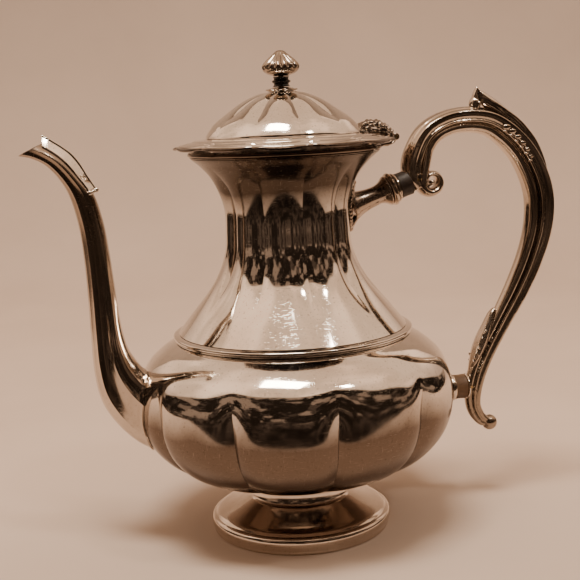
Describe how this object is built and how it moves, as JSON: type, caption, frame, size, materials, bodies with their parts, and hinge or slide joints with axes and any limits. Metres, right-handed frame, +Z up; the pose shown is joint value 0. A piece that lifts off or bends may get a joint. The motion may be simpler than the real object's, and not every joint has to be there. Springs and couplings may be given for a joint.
{
  "type": "silver coffee pot",
  "caption": "Lobed pear-shaped silver coffee pot on a round foot, with a hinged domed lid, a swan-neck spout and a scrolled handle on two insulators.",
  "frame": {"origin": "on the table, under the middle of the whole pot's bounding box", "axes": "+Z up along the body's axis, -X towards the spout, +X towards the handle"},
  "size_m": [0.3006, 0.174, 0.2652],
  "materials": {
    "silver_plate": "polished silver plate, lightly tarnished and scratched",
    "cast_silver": "cast silver plate, darker in its hollows",
    "dark_insulator": "satin, very dark brown composition",
    "brown_insulator": "satin, mid brown composition",
    "black_spindle": "semi-gloss black composition",
    "brass": "plain turned brass"
  },
  "bodies": {
    "pot": {"foot_ring": "silver_plate", "foot_dome": "silver_plate", "foot_waist": "silver_plate", "belly": "silver_plate", "shoulder_bead": "silver_plate", "neck": "silver_plate", "mouth_collar": "silver_plate", "spout_near_half": "silver_plate", "spout_far_half": "silver_plate", "lower_socket": "silver_plate", "lower_ring": "silver_plate", "spout_band": "cast_silver", "hinge_body_leaf": "cast_silver", "handle": "cast_silver", "thumb_leaf": "cast_silver", "lower_leaf": "cast_silver", "upper_socket": "cast_silver", "upper_ferrule": "cast_silver", "hinge_pin": "brass", "upper_socket_pin": "brass", "upper_handle_pin": "brass", "lower_socket_pin": "brass", "lower_handle_pin": "brass", "upper_insulator": "dark_insulator", "lower_insulator": "brown_insulator"},
    "lid": {"lid_brim": "silver_plate", "lid_bezel": "silver_plate", "lid_dome": "silver_plate", "finial_rosette": "cast_silver", "finial_spindle": "black_spindle", "finial_knob": "cast_silver", "finial_stud": "brass", "finial_washer": "brass", "finial_nut": "brass", "hinge_lid_leaf": "cast_silver", "hinge_ornament": "cast_silver"}
  },
  "joints": [
    {"name": "lid_hinge", "type": "hinge", "parent": "pot", "child": "lid", "pos_m": [0.0525, 0, 0.2162], "axis": [0, 1, 0], "range_deg": [0, 100]}
  ]
}
